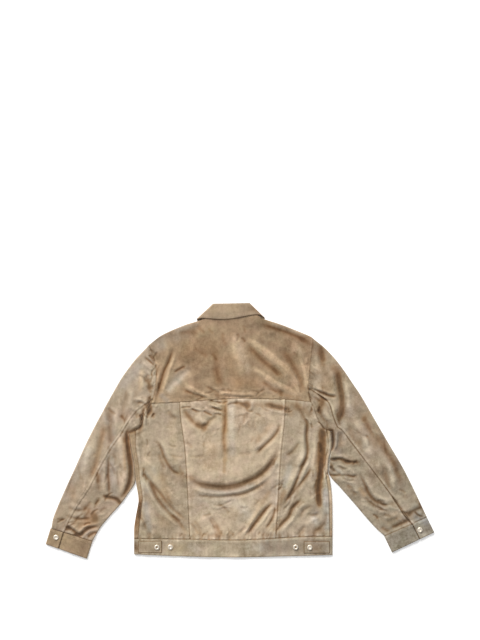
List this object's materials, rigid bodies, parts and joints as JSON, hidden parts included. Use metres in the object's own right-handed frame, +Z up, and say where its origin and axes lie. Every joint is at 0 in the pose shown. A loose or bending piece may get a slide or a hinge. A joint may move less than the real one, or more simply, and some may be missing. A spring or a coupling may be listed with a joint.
{
  "type": "suede jacket",
  "caption": "Waist-length trucker jacket in soft suede, laid flat back up with its sleeves out, with yoke, princess seams, waistband, side tabs, snapped cuffs and folded collar.",
  "frame": {"origin": "on the outer face of the wearer's left front at mid body, where the jacket rests on a flat surface", "axes": "+X to the wearer's right along the spread sleeves, +Y to the neck, +Z up out of the surface, on the back's side"},
  "size_m": [1.0469, 0.6898, 0.0122],
  "materials": {
    "suede": "napped suede cloth in warm taupe, brushed light and dark, dull with a soft sheen",
    "suede_band": "the same napped suede in two pressed plies, a little paler, with edge stitching",
    "snap_metal": "polished pale gold ring snap cap"
  },
  "bodies": {
    "root": {"yoke": "suede", "back_centre": "suede", "back_side_left": "suede", "back_side_right": "suede", "front_left": "suede", "front_right": "suede", "sleeve_outer_left": "suede", "sleeve_outer_right": "suede", "sleeve_under_left": "suede", "sleeve_under_right": "suede", "collar_leaf": "suede", "collar_stand": "suede", "waistband_back": "suede_band", "waistband_front_left": "suede_band", "waistband_front_right": "suede_band", "cuff_left": "suede_band", "cuff_right": "suede_band", "tab_left": "suede_band", "tab_right": "suede_band", "tab_snap_left": "snap_metal", "tab_snap_right": "snap_metal", "band_snap_left": "snap_metal", "band_snap_right": "snap_metal", "cuff_snap_left": "snap_metal", "cuff_snap_right": "snap_metal"}
  },
  "joints": []
}
